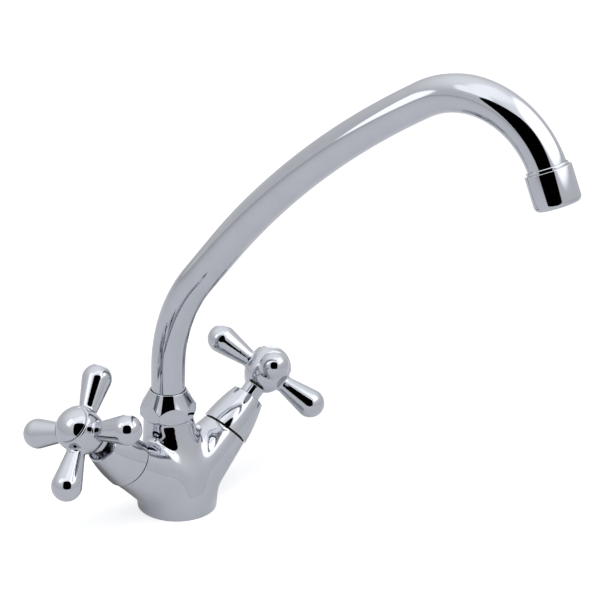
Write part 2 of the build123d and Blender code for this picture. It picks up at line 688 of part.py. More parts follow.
outlet = outlet_plane()
save("outlet_bush", outlet * outlet_bush())
save("aerator_housing", outlet * aerator_housing())
save("aerator_seal", outlet * aerator_seal())
save("aerator_cartridge", outlet * aerator_cartridge())

for side in SIDES:
    axis = valve_plane(side)
    save(f"{side}_headwork_body", axis * headwork_body())
    save(f"{side}_headwork_o_ring", axis * headwork_o_ring())
    save(f"{side}_seat_seal", axis * seat_seal())
    save(f"{side}_fixed_disc", axis * fixed_disc())
    save(f"{side}_turning_disc", axis * turning_disc())
    save(f"{side}_spindle", axis * spindle())
    save(f"{side}_spindle_o_rings", axis * spindle_o_rings())
    save(f"{side}_spindle_circlip", axis * spindle_circlip())
    save(f"{side}_shroud", axis * shroud())
    save(f"{side}_cross_handle", axis * cross_handle(side))
    save(f"{side}_handle_screw", axis * handle_screw())
    save(f"{side}_index_cap", axis * index_cap())
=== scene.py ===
import math

import bpy
from mathutils import Matrix, Vector


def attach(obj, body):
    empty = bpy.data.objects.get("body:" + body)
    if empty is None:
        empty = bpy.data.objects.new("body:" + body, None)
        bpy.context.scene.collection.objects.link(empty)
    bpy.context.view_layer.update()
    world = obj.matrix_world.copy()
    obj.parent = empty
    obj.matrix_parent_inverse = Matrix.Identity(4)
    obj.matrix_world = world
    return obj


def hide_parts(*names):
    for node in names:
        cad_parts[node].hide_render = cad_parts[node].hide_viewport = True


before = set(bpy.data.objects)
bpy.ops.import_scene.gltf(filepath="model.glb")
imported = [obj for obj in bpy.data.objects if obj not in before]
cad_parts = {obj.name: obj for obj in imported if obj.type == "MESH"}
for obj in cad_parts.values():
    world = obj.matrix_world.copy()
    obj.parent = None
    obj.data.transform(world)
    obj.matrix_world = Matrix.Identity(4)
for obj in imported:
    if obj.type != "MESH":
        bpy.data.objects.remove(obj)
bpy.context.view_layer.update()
MM = 0.001

# --- body casting --------------------------------------------------------------------
# The tap's body is one brass casting: a round foot that leans back into the neck, and two
# arms that hold the valves. Its seams are ground away and it is buffed before plating.
FOOT_R = 23.5 * MM
FOOT_H = 9.0 * MM             # the rim leans out up to this height
FOOT_LEAN = 0.7 * MM
NECK_TOP = 54.5 * MM
NECK_R = 14.6 * MM
NECK_BACK = 8.5 * MM
WAIST = (                     # shares of the height, of the narrowing and of the lean back
    (0.26, 0.01, 0.012),
    (0.44, 0.225, 0.176),
    (0.62, 0.54, 0.48),
    (0.81, 0.83, 0.76),
)
NECK_TAPER = 0.16             # how fast the neck narrows right under the nut
NECK_SLANT = 0.22             # and how fast it leans back there
ARM_R = 14.2 * MM
ARM_START = 14.0 * MM
ARM_END = 48.3 * MM
ARM_FLARE = 2.06 * MM         # extra radius of the arm at its root, on its underside
ARM_FLARE_MID = 0.45 * MM     # and half way along
ARM_CHEEK = 5.6 * MM          # extra half width of the arm at its root, to front and back
ARM_CHEEK_MID = 3.2 * MM      # and half way along
ARM_RISE = 9.5 * MM           # extra height of the arm at its root, on its top
ARM_RISE_MID = 5.0 * MM       # and half way along
VALVE_TILT = math.radians(47.5)
VALVE_CROSS = Vector((0, 0, 4.9)) * MM
OVERRUN = 3.0 * MM            # ends are modelled longer, then cut off square
BLEND_REACH = 9.0 * MM        # how far the soft blend runs up from each junction
BLEND_GRAIN = 1.0 * MM        # facet size while the blends are softened
BLEND_PASSES = 110
CAST_GRAIN = 0.5 * MM         # facet size of the finished casting
CAST_PASSES = 10
SECTION_STEP = 1.0 * MM       # foot, neck and arms are drawn through a section at each step
HAIR = 0.001 * MM             # points closer than this are one point
SIDES = {"left": -1, "right": 1}


def smooth_line(knots, slopes=None, rounds=60):
    """Cubic curve through (place, value) pairs, free at its ends or with the given end slopes."""
    gaps = [b[0] - a[0] for a, b in zip(knots, knots[1:])]
    rises = [(b[1] - a[1]) / gap for a, b, gap in zip(knots, knots[1:], gaps)]
    bends = [0.0] * len(knots)
    for _ in range(rounds):
        for i in range(1, len(knots) - 1):
            pull = 6 * (rises[i] - rises[i - 1])
            pull = pull - gaps[i - 1] * bends[i - 1] - gaps[i] * bends[i + 1]
            bends[i] = pull / (2 * (gaps[i - 1] + gaps[i]))
        if slopes:
            bends[0] = 3 * (rises[0] - slopes[0]) / gaps[0] - bends[1] / 2
            bends[-1] = 3 * (slopes[1] - rises[-1]) / gaps[-1] - bends[-2] / 2

    def value(where):
        at = min(max(where, knots[0][0]), knots[-1][0])
        i = max(k for k in range(len(gaps)) if knots[k][0] <= at)
        left = (knots[i + 1][0] - at) / gaps[i]
        right = 1 - left
        bow = ((left ** 3 - left) * bends[i] + (right ** 3 - right) * bends[i + 1]) * gaps[i] ** 2 / 6
        return left * knots[i][1] + right * knots[i + 1][1] + bow

    return value


core_radius = smooth_line(
    [(0, FOOT_R), (FOOT_H, FOOT_R + FOOT_LEAN)]
    + [(up * NECK_TOP, FOOT_R + (NECK_R - FOOT_R) * narrow) for up, narrow, _ in WAIST]
    + [(NECK_TOP, NECK_R)], (FOOT_LEAN / FOOT_H, -NECK_TAPER))
core_lean = smooth_line(
    [(0, 0), (FOOT_H, 0)] + [(up * NECK_TOP, NECK_BACK * back) for up, _, back in WAIST]
    + [(NECK_TOP, NECK_BACK)], (0, NECK_SLANT))
arm_middle = (ARM_START + ARM_END) / 2
arm_flare = smooth_line([(ARM_START, ARM_FLARE), (arm_middle, ARM_FLARE_MID), (ARM_END, 0)])
arm_cheek = smooth_line([(ARM_START, ARM_CHEEK), (arm_middle, ARM_CHEEK_MID), (ARM_END, 0)])
arm_rise = smooth_line([(ARM_START, ARM_RISE), (arm_middle, ARM_RISE_MID), (ARM_END, 0)])


def arm_section(along):
    """One section of the arm: the shift of its centre, and its half width and half depth."""
    shift = (arm_rise(along) - arm_flare(along)) / 2
    return shift, ARM_R + arm_cheek(along), ARM_R + (arm_rise(along) + arm_flare(along)) / 2


def valve_frame(side):
    """Place of one valve: z runs out along its axis, x points to the back of the tap."""
    out = Vector((SIDES[side] * math.sin(VALVE_TILT), 0, math.cos(VALVE_TILT)))
    back = Vector((0, 1, 0))
    turned = Matrix((back, out.cross(back), out)).transposed().to_4x4()
    return Matrix.Translation(VALVE_CROSS) @ turned


INTO_ARM = {side: valve_frame(side).inverted() for side in SIDES}


def ringed_bar(name, rings, sides):
    """Solid bar: a filled circle, extruded from ring to ring and scaled to each half width."""
    centre, (wide, deep) = rings[0]
    bpy.ops.object.select_all(action="DESELECT")
    bpy.ops.mesh.primitive_circle_add(vertices=sides, radius=1.0, fill_type="NGON", location=centre)
    bar = bpy.context.object
    bar.name = name
    bpy.ops.object.mode_set(mode="EDIT")
    bpy.ops.mesh.select_all(action="SELECT")
    bpy.ops.transform.resize(value=(wide, deep, 1), center_override=centre)
    for next_centre, (next_wide, next_deep) in rings[1:]:
        step = Vector(next_centre) - Vector(centre)
        bpy.ops.mesh.extrude_region_move(TRANSFORM_OT_translate={"value": step})
        scale = (next_wide / wide, next_deep / deep, 1)
        bpy.ops.transform.resize(value=scale, center_override=next_centre)
        centre, wide, deep = next_centre, next_wide, next_deep
    bpy.ops.mesh.select_all(action="SELECT")
    bpy.ops.mesh.normals_make_consistent(inside=False)
    bpy.ops.object.mode_set(mode="OBJECT")
    return bar


def pick(piece):
    """Makes a piece the only selected one, and the active one."""
    bpy.ops.object.select_all(action="DESELECT")
    piece.select_set(True)
    bpy.context.view_layer.objects.active = piece


def place(piece, where):
    """Puts a piece at a frame, and leaves its object at the origin."""
    piece.matrix_world = where @ piece.matrix_world
    pick(piece)
    bpy.ops.object.transform_apply(location=True, rotation=True, scale=True)
    return piece


def join(pieces, name):
    """Joins pieces into the first one."""
    bpy.ops.object.select_all(action="DESELECT")
    for piece in pieces:
        piece.select_set(True)
    bpy.context.view_layer.objects.active = pieces[0]
    bpy.ops.object.join()
    pieces[0].name = name
    return pieces[0]


def finish_with(piece, kind, **settings):
    """Adds one modifier to a piece and applies it."""
    pick(piece)
    modifier = piece.modifiers.new(kind.lower(), kind)
    for setting, value in settings.items():
        setattr(modifier, setting, value)
    bpy.ops.object.modifier_apply(modifier=modifier.name)


def cut_flat(piece, point, outward):
    """Cuts a piece square at a plane and closes the cut."""
    pick(piece)
    bpy.ops.object.mode_set(mode="EDIT")
    bpy.ops.mesh.select_all(action="SELECT")
    bpy.ops.mesh.bisect(plane_co=point, plane_no=outward, use_fill=True, clear_outer=True,
                        threshold=HAIR)
    bpy.ops.object.mode_set(mode="OBJECT")


def turned(name, outline, sides):
    """Solid of revolution: the outline of (radius, height) is drawn point by point and spun."""
    bpy.ops.object.select_all(action="DESELECT")
    bpy.ops.mesh.primitive_plane_add(size=1 * MM, location=(0, 0, 0))
    piece = bpy.context.object
    piece.name = name
    bpy.ops.object.mode_set(mode="EDIT")
    bpy.ops.mesh.select_all(action="SELECT")
    bpy.ops.mesh.merge(type="CENTER")
    at = Vector((0, 0, 0))
    for index, (radius, height) in enumerate(list(outline) + [outline[0]]):
        step = Vector((radius, 0, height)) - at
        if index == 0:
            bpy.ops.transform.translate(value=step)
        else:
            bpy.ops.mesh.extrude_vertices_move(TRANSFORM_OT_translate={"value": step})
        at = Vector((radius, 0, height))
    bpy.ops.mesh.select_all(action="SELECT")
    bpy.ops.mesh.spin(steps=sides, angle=2 * math.pi, center=(0, 0, 0), axis=(0, 0, 1))
    bpy.ops.mesh.select_all(action="SELECT")
    bpy.ops.mesh.remove_doubles(threshold=HAIR)
    bpy.ops.mesh.dissolve_degenerate(threshold=HAIR / 2)
    bpy.ops.mesh.select_all(action="SELECT")
    bpy.ops.mesh.normals_make_consistent(inside=False)
    bpy.ops.object.mode_set(mode="OBJECT")
    return piece


def rod(name, radius, low, high):
    """Plain turned rod for drilling and boring."""
    return turned(name, [(0, low), (radius, low), (radius, high), (0, high)], sides=64)


def drill(piece, tool):
    """Cuts a tool's shape out of a piece."""
    finish_with(piece, "BOOLEAN", operation="DIFFERENCE", solver="MANIFOLD", object=tool)
    bpy.data.objects.remove(tool)


def smooth_shading(piece, degrees=30):
    """Smooth faces, with crisp edges where they turn by more than this."""
    pick(piece)
    bpy.ops.object.shade_smooth_by_angle(angle=math.radians(degrees))


def core_rings():
    """Sections of foot and neck, as (centre, (half width, half depth))."""
    rings = [((0, 0, -OVERRUN), (FOOT_R, FOOT_R))]
    height = 0.0
    while height < NECK_TOP:
        rings.append(((0, core_lean(height), height), (core_radius(height), core_radius(height))))
        height += SECTION_STEP
    return rings + [((0, NECK_BACK, NECK_TOP + OVERRUN), (NECK_R, NECK_R))]


def arm_rings(side):
    """Sections of one arm in its valve's frame, as (centre, (half width, half depth))."""
    rings = []
    along = ARM_START
    while along < ARM_END:
        shift, wide, deep = arm_section(along)
        rings.append(((0, SIDES[side] * shift, along), (wide, deep)))
        along += SECTION_STEP
    return rings + [((0, 0, ARM_END + OVERRUN), (ARM_R, ARM_R))]


def arm_gap(point, side):
    """Distance of a point from the surface of one arm."""
    local = INTO_ARM[side] @ point
    shift, wide, deep = arm_section(local.z)
    outside = math.hypot(local.x * deep / wide, local.y - SIDES[side] * shift) - deep
    return max(outside, ARM_START - local.z)


def core_gap(point):
    """Distance of a point from the surface of the foot and neck."""
    return math.hypot(point.x, point.y - core_lean(point.z)) - core_radius(point.z)


core = ringed_bar("core", core_rings(), sides=160)
arms = [place(ringed_bar(side, arm_rings(side), sides=128), valve_frame(side)) for side in SIDES]
casting = place(join([core] + arms, "tap_body_casting"), Matrix.Identity(4))
finish_with(casting, "REMESH", mode="VOXEL", voxel_size=BLEND_GRAIN, adaptivity=0.0)
junction = casting.vertex_groups.new(name="junction")
for vertex in casting.data.vertices:
    gaps = sorted([core_gap(vertex.co)] + [arm_gap(vertex.co, side) for side in SIDES])
    near = max(0.0, 1 - gaps[1] / BLEND_REACH)
    junction.add([vertex.index], near * near * (3 - 2 * near), "REPLACE")
finish_with(casting, "SMOOTH", factor=0.5, iterations=BLEND_PASSES, vertex_group="junction")
finish_with(casting, "REMESH", mode="VOXEL", voxel_size=CAST_GRAIN, adaptivity=0.0)
finish_with(casting, "SMOOTH", factor=0.5, iterations=CAST_PASSES)
cut_flat(casting, (0, 0, 0), (0, 0, -1))
cut_flat(casting, (0, 0, NECK_TOP), (0, 0, 1))
for side in SIDES:
    valve = valve_frame(side)
    cut_flat(casting, valve @ Vector((0, 0, ARM_END)), valve.to_3x3() @ Vector((0, 0, 1)))

# The casting's machined places: thread and socket of the neck, a chamber for each valve with
# its seat and water room, the waterways, the stud hole, the hose threads and the seal's groove.
THREAD_R = 13.0 * MM
THREAD_H = 5.5 * MM
SOCKET_R = 9.5 * MM
SOCKET_BOTTOM = 34.0 * MM
SEAT_S = 28.0 * MM
SEAT_HOLE_R = 4.5 * MM
CHAMBER_R = 9.3 * MM
RELIEF_R = 11.0 * MM
RELIEF_LOW = 29.0 * MM
RELIEF_TOP = 40.0 * MM
RING_SEAT_R = 10.8 * MM
RING_SEAT_DEPTH = 1.3 * MM
WATERWAY_R = 3.0 * MM
STUD_HOLE = (3.4 * MM, 14.0 * MM, Vector((0, 10.0, 0)) * MM)
INLET = (4.46 * MM, 11.0 * MM, Vector((8.5, -5.0, 0)) * MM)
SEAL_MIDDLE_R = 20.0 * MM
SEAL_HALF_W = 1.2 * MM
SEAL_H = 1.8 * MM
CUT_PAST = 1.0 * MM           # how far each tool runs past the face that it cuts
seat_low = SEAT_S - SEAT_HOLE_R / 2

neck = Matrix.Translation((0, NECK_BACK, 0))
thread = place(rod("thread", THREAD_R, NECK_TOP - CUT_PAST, NECK_TOP + THREAD_H), neck)
finish_with(casting, "BOOLEAN", operation="UNION", solver="MANIFOLD", object=thread)
bpy.data.objects.remove(thread)
drill(casting, place(rod("socket", SOCKET_R, SOCKET_BOTTOM, NECK_TOP + THREAD_H + CUT_PAST), neck))
for side in SIDES:
    chamber = turned("chamber", [
        (0, seat_low),
        (SEAT_HOLE_R, seat_low),
        (SEAT_HOLE_R, SEAT_S),
        (CHAMBER_R, SEAT_S),
        (CHAMBER_R, RELIEF_LOW),
        (RELIEF_R, RELIEF_LOW),
        (RELIEF_R, RELIEF_TOP),
        (CHAMBER_R, RELIEF_TOP),
        (CHAMBER_R, ARM_END - RING_SEAT_DEPTH),
        (RING_SEAT_R, ARM_END - RING_SEAT_DEPTH),
        (RING_SEAT_R, ARM_END + CUT_PAST),
        (0, ARM_END + CUT_PAST),
    ], sides=96)
    drill(casting, place(chamber, valve_frame(side)))
stud_r, stud_depth, stud_at = STUD_HOLE
drill(casting, place(rod("stud_hole", stud_r, -CUT_PAST, stud_depth), Matrix.Translation(stud_at)))
inlet_r, inlet_depth, inlet_at = INLET
for side, sign in SIDES.items():
    inlet = Matrix.Translation((sign * inlet_at.x, inlet_at.y, 0))
    drill(casting, place(rod("inlet", inlet_r, -CUT_PAST, inlet_depth), inlet))
    valve = valve_frame(side)
    runs = (
        (inlet @ Vector((0, 0, inlet_depth - CUT_PAST)), valve @ Vector((0, 0, seat_low))),
        (valve @ Vector((RELIEF_R / 2, sign * RELIEF_R / 2, SEAT_S + WATERWAY_R + CUT_PAST)),
         Vector((0, NECK_BACK, SOCKET_BOTTOM + WATERWAY_R))),
    )
    for start, end in runs:
        run = end - start
        aim = Matrix.Translation(start) @ run.to_track_quat("Z", "Y").to_matrix().to_4x4()
        drill(casting, place(rod("waterway", WATERWAY_R, 0, run.length), aim))
groove = turned("groove", [
    (SEAL_MIDDLE_R - SEAL_HALF_W, -CUT_PAST),
    (SEAL_MIDDLE_R + SEAL_HALF_W, -CUT_PAST),
    (SEAL_MIDDLE_R + SEAL_HALF_W, SEAL_H),
    (SEAL_MIDDLE_R - SEAL_HALF_W, SEAL_H),
], sides=128)
drill(casting, groove)
smooth_shading(casting)


def linear(sheet_colour):
    """An sRGB hex colour such as #B9BCC2 as linear red, green, blue and alpha."""
    parts = [int(sheet_colour[i:i + 2], 16) / 255 for i in (1, 3, 5)]
    return [c / 12.92 if c <= 0.04045 else ((c + 0.055) / 1.055) ** 2.4 for c in parts] + [1.0]


def add_node(tree, kind, settings=None, values=None, links=None):
    """Adds one shader node with its settings, its input values and its links."""
    made = tree.nodes.new(kind)
    for name, value in (settings or {}).items():
        setattr(made, name, value)
    for name, value in (values or {}).items():
        made.inputs[name].default_value = value
    for name, source in (links or {}).items():
        tree.links.new(source, made.inputs[name])
    return made


def new_material(name):
    """An empty material, its node tree and its output."""
    material = bpy.data.materials.new(name)
    material.use_nodes = True
    material.node_tree.nodes.clear()
    return material, material.node_tree, material.node_tree.nodes.new("ShaderNodeOutputMaterial")


# Chromium plate is a hard, cool, mirror-bright skin about 0.3 microns thick over nickel. It
# copies the metal under it: the eye sees faint waves left by the buffing wheel, and a thin film
# of wiped-off water that dulls the mirror a little in patches. Both are drawn a bit coarse.
CHROME_BRIGHT = "#BFC2C8"
CHROME_FILM = "#B3B6BE"
FILM_PATCH = 14.0 * MM
FILM_SPAN = (0.3, 0.75)       # the film's noise hardly leaves this span


def chrome_plate(name, wave, depth, polish):
    """Chrome over one kind of polished metal: size and depth of its waves, and its roughness."""
    material, tree, output = new_material(name)
    where = add_node(tree, "ShaderNodeTexCoord").outputs["Object"]
    film = add_node(tree, "ShaderNodeTexNoise",
                    values={"Scale": 1 / FILM_PATCH, "Detail": 4.0, "Roughness": 0.6},
                    links={"Vector": where}).outputs["Fac"]
    tint = add_node(tree, "ShaderNodeMix", {"data_type": "RGBA"},
                    {"A": linear(CHROME_BRIGHT), "B": linear(CHROME_FILM)}, {"Factor": film})
    dull = add_node(tree, "ShaderNodeMapRange",
                    values={"From Min": FILM_SPAN[0], "From Max": FILM_SPAN[1],
                            "To Min": polish, "To Max": 2 * polish},
                    links={"Value": film})
    waves = add_node(tree, "ShaderNodeTexNoise", values={"Scale": 1 / wave, "Detail": 1.0},
                     links={"Vector": where})
    relief = add_node(tree, "ShaderNodeBump", values={"Distance": depth},
                      links={"Height": waves.outputs["Fac"]})
    shader = add_node(tree, "ShaderNodeBsdfPrincipled", values={"Metallic": 1.0},
                      links={"Base Color": tint.outputs["Result"], "Roughness": dull.outputs["Result"],
                             "Normal": relief.outputs["Normal"]})
    tree.links.new(shader.outputs["BSDF"], output.inputs["Surface"])
    return material


def give(piece, material):
    """Gives a piece one material all over."""
    piece.data.materials.clear()
    piece.data.materials.append(material)


buffed_casting = chrome_plate("chrome_on_buffed_casting", wave=9 * MM, depth=0.008 * MM,
                              polish=0.035)
give(casting, buffed_casting)
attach(casting, "tap_body")
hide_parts("body_casting")

# --- seals ---------------------------------------------------------------------------
# Moulded black rubber: the ring under the foot, the O-rings and the seat washers, each pressed
# into its groove. The mould leaves a dull skin, a little greyer where talc is left on it.
RUBBER_DEEP = "#29292A"
RUBBER_TALC = "#3A3A3B"
RUBBER_GRAIN = 0.35 * MM
GRAIN_SPAN = (0.3, 0.7)       # the grain's noise hardly leaves this span


def mottled(name, colours, rough, grain, depth, metallic=0.0):
    """Two close tones in patches of a grain's size, a roughness that follows them, and relief."""
    material, tree, output = new_material(name)
    where = add_node(tree, "ShaderNodeTexCoord").outputs["Object"]
    patches = add_node(tree, "ShaderNodeTexNoise", values={"Scale": 1 / grain, "Detail": 5.0},
                       links={"Vector": where}).outputs["Fac"]
    tone = add_node(tree, "ShaderNodeMix", {"data_type": "RGBA"},
                    {"A": linear(colours[0]), "B": linear(colours[1])}, {"Factor": patches})
    dull = add_node(tree, "ShaderNodeMapRange",
                    values={"From Min": GRAIN_SPAN[0], "From Max": GRAIN_SPAN[1],
                            "To Min": rough[0], "To Max": rough[1]},
                    links={"Value": patches})
    relief = add_node(tree, "ShaderNodeBump", values={"Distance": depth}, links={"Height": patches})
    shader = add_node(tree, "ShaderNodeBsdfPrincipled", values={"Metallic": metallic},
                      links={"Base Color": tone.outputs["Result"], "Roughness": dull.outputs["Result"],
                             "Normal": relief.outputs["Normal"]})
    tree.links.new(shader.outputs["BSDF"], output.inputs["Surface"])
    return material


def refinish(nodes, material):
    """Gives inner pieces a finer material, and leaves their meshes as they are."""
    for node in nodes:
        for finish_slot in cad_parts[node].material_slots:
            finish_slot.material = material


rubber = mottled("moulded_black_rubber", (RUBBER_DEEP, RUBBER_TALC), rough=(0.55, 0.75),
                 grain=RUBBER_GRAIN, depth=0.01 * MM)
refinish(["base_seal", "spout_o_rings", "aerator_seal"], rubber)
for side in SIDES:
    refinish([f"{side}_headwork_o_ring", f"{side}_seat_seal", f"{side}_spindle_o_rings"], rubber)

# --- headworks and spindles ----------------------------------------------------------
# Turned from brass bar and left bare: the tool leaves fine rings round the valve's axis. The
# hexagon and flange under the shroud carry painted shade, nearly black, for the dark gap there.
BRASS_CUT = "#D9C48F"
BRASS_BROWNED = "#B79C63"
# Painted shade for the gap under the shroud: near black, faded in between these two radii.
BRASS_GAP_SHADE = "#1C1813"
GAP_SHADE_FROM = 8.2 * MM
GAP_SHADE_TO = 9.0 * MM
TOOL_PITCH = 0.12 * MM
TOOL_DEPTH = 0.004 * MM
BRASS_ROUGH = (0.22, 0.40)


def turned_bar(name, where_turned, colours, rough, gap_shade):
    """Metal bar turned round the z axis of a frame: fine rings, and painted shade past some radius."""
    material, tree, output = new_material(name)
    where = add_node(tree, "ShaderNodeTexCoord").outputs["Object"]
    centre = add_node(tree, "ShaderNodeVectorMath", {"operation": "SUBTRACT"},
                      {1: where_turned.to_translation()}, {0: where}).outputs["Vector"]
    axis = where_turned.to_3x3() @ Vector((0, 0, 1))
    along = add_node(tree, "ShaderNodeVectorMath", {"operation": "DOT_PRODUCT"},
                     {1: axis}, {0: centre}).outputs["Value"]
    aside = add_node(tree, "ShaderNodeVectorMath", {"operation": "CROSS_PRODUCT"},
                     {1: axis}, {0: centre}).outputs["Vector"]
    radius = add_node(tree, "ShaderNodeVectorMath", {"operation": "LENGTH"},
                      links={0: aside}).outputs["Value"]
    rings = add_node(tree, "ShaderNodeTexNoise", {"noise_dimensions": "1D"},
                     {"Scale": 1 / TOOL_PITCH, "Detail": 2.0}, {"W": along}).outputs["Fac"]
    browned = add_node(tree, "ShaderNodeTexNoise", values={"Scale": 1 / FILM_PATCH, "Detail": 4.0},
                       links={"Vector": where}).outputs["Fac"]
    tone = add_node(tree, "ShaderNodeMix", {"data_type": "RGBA"},
                    {"A": linear(colours[0]), "B": linear(colours[1])}, {"Factor": browned})
    # Painted shade: past this radius the colour turns near black and stops being metal.
    gap_shaded = add_node(tree, "ShaderNodeMapRange", values={"From Min": gap_shade[0], "From Max": gap_shade[1]},
                       links={"Value": radius}).outputs["Result"]
    tone = add_node(tree, "ShaderNodeMix", {"data_type": "RGBA"}, {"B": linear(colours[2])},
                    {"Factor": gap_shaded, "A": tone.outputs["Result"]})
    bare = add_node(tree, "ShaderNodeMath", {"operation": "SUBTRACT"}, {0: 1.0}, {1: gap_shaded})
    dull = add_node(tree, "ShaderNodeMapRange", values={"To Min": rough[0], "To Max": rough[1]},
                    links={"Value": rings})
    relief = add_node(tree, "ShaderNodeBump", values={"Distance": TOOL_DEPTH}, links={"Height": rings})
    shader = add_node(tree, "ShaderNodeBsdfPrincipled",
                      links={"Base Color": tone.outputs["Result"], "Roughness": dull.outputs["Result"],
                             "Metallic": bare.outputs["Value"], "Normal": relief.outputs["Normal"]})
    tree.links.new(shader.outputs["BSDF"], output.inputs["Surface"])
    return material


for side in SIDES:
    brass = turned_bar(f"turned_brass_{side}_valve", valve_frame(side),
                       (BRASS_CUT, BRASS_BROWNED, BRASS_GAP_SHADE), BRASS_ROUGH, (GAP_SHADE_FROM, GAP_SHADE_TO))
    refinish([f"{side}_headwork_body", f"{side}_spindle"], brass)

# --- ceramic discs -------------------------------------------------------------------
# Alumina, pressed, fired and lapped flat enough to seal dry: an even ivory white with a soft
# sheen, and faint clouds from the firing.
CERAMIC_WHITE = "#EFEDE6"
CERAMIC_CLOUD = "#E4E2DA"
CERAMIC_GRAIN = 1.6 * MM

ceramic = mottled("lapped_alumina", (CERAMIC_WHITE, CERAMIC_CLOUD), rough=(0.18, 0.30),
                  grain=CERAMIC_GRAIN, depth=0.001 * MM)
for side in SIDES:
    refinish([f"{side}_fixed_disc", f"{side}_turning_disc"], ceramic)

# --- clips and screws ----------------------------------------------------------------
# Plain stainless steel: a stamped clip on each spindle, and the screw that holds each handle.
# Tumbling in the barrel leaves a satin skin with tiny dents.
STEEL_BRIGHT = "#C6C6C8"
STEEL_DULL = "#B4B4B7"
STEEL_GRAIN = 0.25 * MM

steel = mottled("tumbled_stainless_steel", (STEEL_BRIGHT, STEEL_DULL), rough=(0.22, 0.38),
                grain=STEEL_GRAIN, depth=0.004 * MM, metallic=1.0)
for side in SIDES:
    refinish([f"{side}_spindle_circlip", f"{side}_handle_screw"], steel)

# --- spout nut -----------------------------------------------------------------------
# The cap nut that holds the spout down: hexagonal brass bar, turned to a domed crown, its
# edges softened on the buffing wheel. It screws onto the neck's thread.
NUT_AF = 29.4 * MM
NUT_H = 17.4 * MM
NUT_EDGE_H = 6.3 * MM
NUT_LIP = 0.5 * MM
NUT_HOLLOW = 0.15 * MM
NUT_BORE_R = 10.35 * MM
NUT_THREAD_R = 13.03 * MM
NUT_THREAD_TOP = 63.25 * MM
NUT_TURN = math.radians(33.7)
NUT_GRAIN = 0.22 * MM
NUT_PASSES = 5


def arc_through(start, middle, end, steps):
    """Points on the arc through three points, without the first one."""
    (ax, ay), (bx, by), (cx, cy) = start, middle, end
    d = 2 * (ax * (by - cy) + bx * (cy - ay) + cx * (ay - by))
    a2, b2, c2 = ax * ax + ay * ay, bx * bx + by * by, cx * cx + cy * cy
    ux = (a2 * (by - cy) + b2 * (cy - ay) + c2 * (ay - by)) / d
    uy = (a2 * (cx - bx) + b2 * (ax - cx) + c2 * (bx - ax)) / d
    radius = math.hypot(ax - ux, ay - uy)
    first = math.atan2(ay - uy, ax - ux)
    turn = math.atan2(cy - uy, cx - ux) - first
    mid = math.atan2(by - uy, bx - ux) - first
    turn = (turn + math.pi) % (2 * math.pi) - math.pi
    mid = (mid + math.pi) % (2 * math.pi) - math.pi
    if mid * turn < 0:
        turn -= math.copysign(2 * math.pi, turn)
    angles = [first + turn * i / steps for i in range(1, steps + 1)]
    return [(ux + radius * math.cos(a), uy + radius * math.sin(a)) for a in angles]


flat = NUT_AF / 2
corner = NUT_AF / math.sqrt(3)
rim = NUT_BORE_R + NUT_LIP
nut_top = NECK_TOP + NUT_H
nut_edge = NECK_TOP + NUT_EDGE_H
crown_middle = ((rim + corner) / 2 - NUT_HOLLOW, (nut_edge + nut_top) / 2 - NUT_HOLLOW / 2)
nut = turned("spout_cap_nut", [
    (NUT_BORE_R, nut_top),
    (NUT_BORE_R, NUT_THREAD_TOP),
    (NUT_THREAD_R, NUT_THREAD_TOP),
    (NUT_THREAD_R, NECK_TOP),
    (flat, NECK_TOP),
    (corner, NECK_TOP + corner - flat),
    (corner, nut_edge),
] + arc_through((corner, nut_edge), crown_middle, (rim, nut_top), steps=24), sides=192)
bpy.ops.object.mode_set(mode="EDIT")
for side_flat in range(6):
    facing = NUT_TURN + math.pi / 6 + side_flat * math.pi / 3
    outward = Vector((math.cos(facing), math.sin(facing), 0))
    bpy.ops.mesh.select_all(action="SELECT")
    bpy.ops.mesh.bisect(plane_co=outward * flat, plane_no=outward, use_fill=True, clear_outer=True)
bpy.ops.object.mode_set(mode="OBJECT")
finish_with(nut, "REMESH", mode="VOXEL", voxel_size=NUT_GRAIN, adaptivity=0.0)
finish_with(nut, "SMOOTH", factor=0.5, iterations=NUT_PASSES)
place(nut, neck)
smooth_shading(nut)
give(nut, buffed_casting)
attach(nut, "tap_body")
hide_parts("spout_nut")

# --- spout foot and slide ring -------------------------------------------------------
# The foot brazed to the tube's lower end is turned brass, with no painted shade under the nut. The
# ring that it turns in is white acetal, cut on the lathe: waxy, with a faint yellow cast.
ACETAL_WHITE = "#EDEDEA"
ACETAL_WAXY = "#E2E2DA"
ACETAL_GRAIN = 0.9 * MM

foot_brass = turned_bar("turned_brass_spout_foot", neck, (BRASS_CUT, BRASS_BROWNED, BRASS_GAP_SHADE),
                        BRASS_ROUGH, (NUT_THREAD_R, NUT_AF))
refinish(["spout_foot"], foot_brass)
acetal = mottled("turned_white_acetal", (ACETAL_WHITE, ACETAL_WAXY), rough=(0.38, 0.50),
                 grain=ACETAL_GRAIN, depth=0.003 * MM)
refinish(["slide_ring"], acetal)

# --- spout tube ----------------------------------------------------------------------
# Drawn brass tube, 20 mm across with a 1 mm wall, bent cold in three places round formers,
# then polished along its length and plated.
TUBE_R = 10.0 * MM
TUBE_WALL = 1.0 * MM
TUBE_START = 62.0 * MM
RISER_RUN = 22.2 * MM
KNEE = (98.5 * MM, math.radians(38.5), 30.5 * MM, 28)       # radius, turn, run after it, steps
SWEEP = (472.0 * MM, math.radians(20.3), 0.0, 40)
HOOK = (51.8 * MM, math.radians(97.6), 17.0 * MM, 72)
TUBE_STOP = 9.0 * MM          # from the tube's end to the mouth of the aerator
TUBE_SIDES = 112
SPOUT_SWING = math.radians(13.5)

